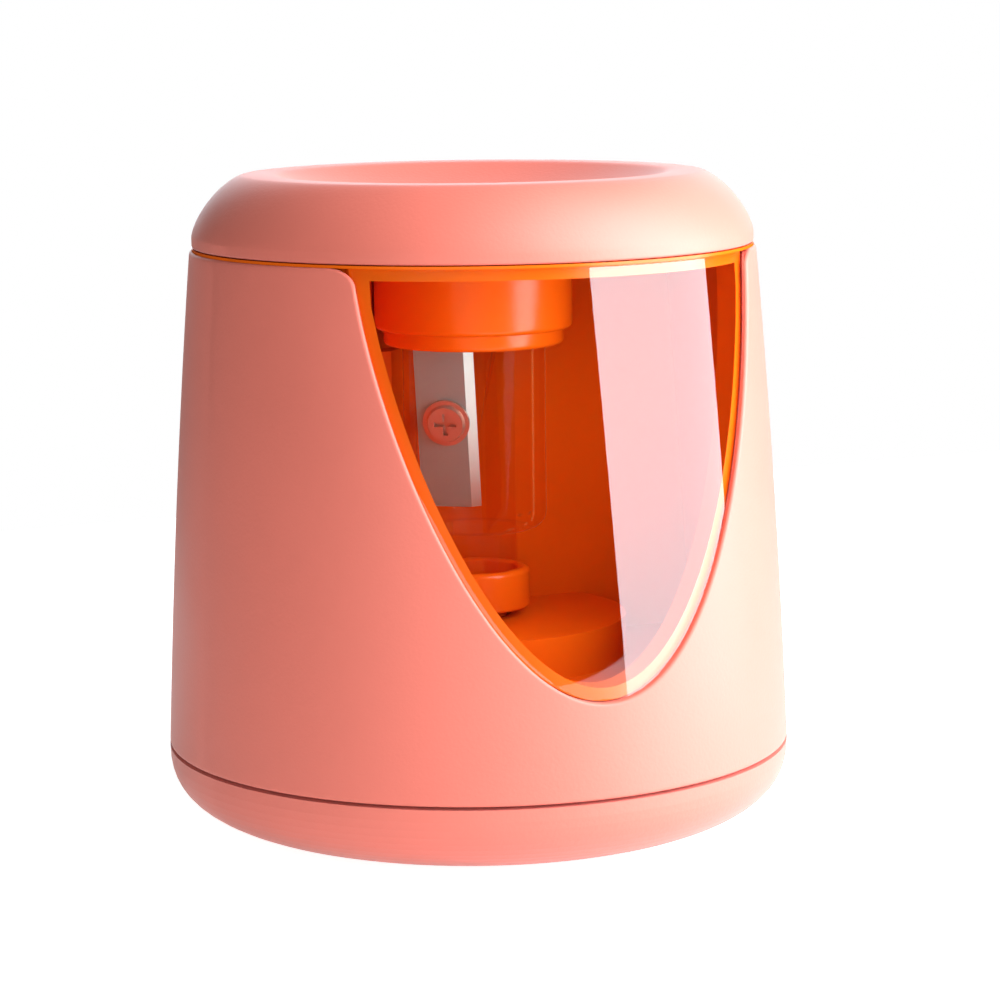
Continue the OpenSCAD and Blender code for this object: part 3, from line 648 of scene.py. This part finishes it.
guide = [
    (PENCIL_BORE_R, GUIDE_Z[0], 0.15),
    (GUIDE_R, GUIDE_Z[0], 0.25),
    (GUIDE_R, GUIDE_Z[1], 0),
    (GUIDE_FLANGE_R, GUIDE_Z[1], 0.2),
    (GUIDE_FLANGE_R, GUIDE_Z[2], 0.25),
    (PENCIL_BORE_R + 1.4, GUIDE_Z[2], 0.2),
    (PENCIL_BORE_R, GUIDE_Z[2] - 1.2, 0.3),
]
turned("guide_skin", "pencil_guide", guide, 5, 96)

collar = [
    (PLATE_HOLE_R, COLLAR_BORE_TOP_Z, 0.1),
    (COLLAR_BORE_R, COLLAR_BORE_TOP_Z, 0.1),
    (COLLAR_BORE_R, COLLAR_LOW_Z, 0.2),
    (COLLAR_R, COLLAR_LOW_Z, 0.7),
    (COLLAR_R, PLATE_LOW_Z, 0.5),
    (PLATE_R, PLATE_LOW_Z, 0.3),
    (PLATE_R, PLATE_TOP_Z, 0.2),
    (PLATE_HOLE_R, PLATE_TOP_Z, 0.1),
]
turned("collar_skin", "lid_liner", collar, 7, 160)

step_ring = [
    (RING_BORE_R, RING_LOW_Z, 0.25),
    (RING_R, RING_LOW_Z, 0.6),
    (RING_R, COLLAR_LOW_Z, 0.1),
    (RING_SPIGOT_R, COLLAR_LOW_Z, 0),
    (RING_SPIGOT_R, RING_TOP_Z, 0.1),
    (RING_BORE_R, RING_TOP_Z, 0.1),
]
turned("step_ring_skin", "retaining_ring", step_ring, 7, 144)

# ---- Drive hub -------------------------------------------------------------------

HUB_R, HUB_LOW_Z, HUB_TOP_Z = 7.1, 28.1, 33.5
STEM_R, STEM_LOW_Z, SHAFT_R = 4.0, 24.5, 1.5
SOCKET_R, SOCKET_LOW_Z = 5.87, 29.0  # to the socket's corners


def hub_mesh():
    """A rounded cup with an eight-sided socket and a stem with the shaft's bore."""
    n, half_side = 96, 22.5

    def socket_r(k, grow):
        a = 360 * k / n - math.degrees(TURN)
        wedge = (a % (2 * half_side)) - half_side
        return (SOCKET_R + grow) * math.cos(math.radians(half_side)) / math.cos(math.radians(wedge))

    cup = [(HUB_R, HUB_LOW_Z), (HUB_R, HUB_TOP_Z), (0, HUB_TOP_Z), (0, HUB_LOW_Z)]
    outside = [(STEM_R, STEM_LOW_Z), (STEM_R, HUB_LOW_Z)]
    outside += [tuple(p) for p in rounded(cup, [0.5, 0.7, 0, 0], 6) if p[0] > 0.85 * HUB_R]
    loops = [([r] * n, z) for r, z in outside]
    # the socket's mouth is rounded by a growing outline
    mouth = [(0.45, HUB_TOP_Z), (0.2, HUB_TOP_Z - 0.1), (0, HUB_TOP_Z - 0.35)]
    for grow, z in mouth + [(0, SOCKET_LOW_Z)]:
        loops.append(([socket_r(k, grow) for k in range(n)], z))
    loops += [([SHAFT_R] * n, SOCKET_LOW_Z), ([SHAFT_R] * n, STEM_LOW_Z)]
    rows = []
    for radii, z in loops:
        turns = [2 * math.pi * k / n for k in range(n)]
        rows.append([(r * math.cos(a), r * math.sin(a), z) for r, a in zip(radii, turns)])
    return wrapped_grid(rows)


verts, faces = hub_mesh()
build("hub_skin", verts, faces, "drive", "orange_plastic", ["drive_hub"], 35)

# ---- Floor, light and camera ------------------------------------------------------

CAM_AZ, CAM_EL, CAM_ROLL, CAM_DISTANCE = -23.5, 9.13, -0.72, 417.2 * MM
TARGET = Vector((0, 0, 42.4 * MM))


def toward(azimuth, elevation):
    """Unit vector from the object at an azimuth from -Y towards +X, and an elevation."""
    a, e = math.radians(azimuth), math.radians(elevation)
    return Vector((math.sin(a) * math.cos(e), -math.cos(a) * math.cos(e), math.sin(e)))


to_camera = toward(CAM_AZ, CAM_EL)
lens = bpy.data.cameras.new("camera")
lens.sensor_width = 36
lens.lens = 112.4
lens.shift_x = 0.0243
lens.clip_start, lens.clip_end = 0.01, 20
camera = bpy.data.objects.new("camera", lens)
scene.collection.objects.link(camera)
camera.location = TARGET + to_camera * CAM_DISTANCE
camera.rotation_mode = "QUATERNION"
roll = Quaternion((0, 0, 1), math.radians(CAM_ROLL))
camera.rotation_quaternion = (-to_camera).to_track_quat("-Z", "Y") @ roll
scene.camera = camera
scene.view_settings.view_transform = "Standard"
scene.view_settings.look = "None"
scene.cycles.transparent_max_bounces = 32  # fewer leave a dark wedge in the clear holder


def emitter(name, corners, radiance):
    """A flat shining panel, from its corners in metres, that the camera doesn't see itself."""
    mat, nt, out = tree(name)
    glow = add(nt, "Emission", Color=(1, 0.985, 1.04, 1), Strength=radiance)
    nt.links.new(glow.outputs[0], out.inputs["Surface"])
    mesh = bpy.data.meshes.new(name)
    mesh.from_pydata([tuple(c) for c in corners], [], [(0, 1, 2, 3)])
    mesh.materials.append(mat)
    box = bpy.data.objects.new(name, mesh)
    scene.collection.objects.link(box)
    box.visible_camera = False
    return box


def lamp(name, azimuth, elevation, distance, size, watts, colour=(1, 1, 1)):
    """A rectangular area light that faces the object and isn't mirrored in it."""
    data = bpy.data.lights.new(name, "AREA")
    data.shape, data.size, data.size_y = "RECTANGLE", size[0], size[1]
    data.energy, data.color = watts, colour
    obj = bpy.data.objects.new(name, data)
    scene.collection.objects.link(obj)
    way = toward(azimuth, elevation)
    obj.location = TARGET + way * distance
    obj.rotation_mode = "QUATERNION"
    obj.rotation_quaternion = way.to_track_quat("Z", "Y")
    obj.visible_glossy = False


# the softbox whose reflection stands in the pane; its near side leans
softbox = [(0.084, -0.165, 0.0), (0.170, -0.040, 0.0), (0.156, -0.075, 0.30), (0.000, -0.200, 0.30)]
emitter("softbox_right", softbox, 8.0)
# a white panel behind, that shows only in reflections and through the clear plastic
backdrop = emitter(
    "backdrop",
    [(-0.05, 0.42, 0.07), (0.35, 0.25, 0.07), (0.35, 0.25, 0.34), (-0.05, 0.42, 0.34)],
    2.6,
)
backdrop.visible_diffuse = False
lamp("front_fill", -30, 8, 0.6, (0.5, 0.35), 1.5)
lamp("top_fill", 60, 45, 0.6, (0.5, 0.5), 1.2, (1, 0.98, 1))

# white behind the object, dim where it lights it, and nearly dark in its reflections
world = bpy.data.worlds.new("world")
scene.world = world
world.use_nodes = True
nt = world.node_tree
nt.nodes.clear()
out = add(nt, "OutputWorld")
seen = add(nt, "Background", Color=(1, 1, 1, 1), Strength=1.0)
felt = add(nt, "Background", Color=(1, 0.98, 0.97, 1), Strength=0.19)
mirrored = add(nt, "Background", Color=(1, 0.98, 0.97, 1), Strength=0.01)
path = add(nt, "LightPath").outputs
links = [("Fac", path["Is Glossy Ray"]), (1, felt.outputs[0]), (2, mirrored.outputs[0])]
soft = add(nt, "MixShader", links)
links = [("Fac", path["Is Camera Ray"]), (1, soft.outputs[0]), (2, seen.outputs[0])]
nt.links.new(add(nt, "MixShader", links).outputs[0], out.inputs["Surface"])

# white paper, with a glow that doesn't light the object by diffuse rays
mat, nt, out = tree("floor_paper")
where = add(nt, "TexCoord").outputs["Object"]
colour = tinted(nt, blotches(nt, where, 3), (0.8, 0.8, 0.8), 0.01)
paper = add(nt, "BsdfDiffuse", [("Color", colour)])
lit = ranged(nt, add(nt, "LightPath").outputs["Is Diffuse Ray"], 0.9, 0.0, span=(0.0, 1.0))
glow = add(nt, "Emission", [("Strength", lit)], Color=(1, 1, 1, 1))
both = add(nt, "AddShader", [(0, paper.outputs[0]), (1, glow.outputs[0])])
nt.links.new(both.outputs[0], out.inputs["Surface"])
FLOOR_HALF = 0.25
mesh = bpy.data.meshes.new("floor")
corners = [(x * FLOOR_HALF, y * FLOOR_HALF, 0) for x, y in ((-1, -1), (1, -1), (1, 1), (-1, 1))]
mesh.from_pydata(corners, [], [(0, 1, 2, 3)])
mesh.materials.append(mat)
floor = bpy.data.objects.new("floor", mesh)
scene.collection.objects.link(floor)
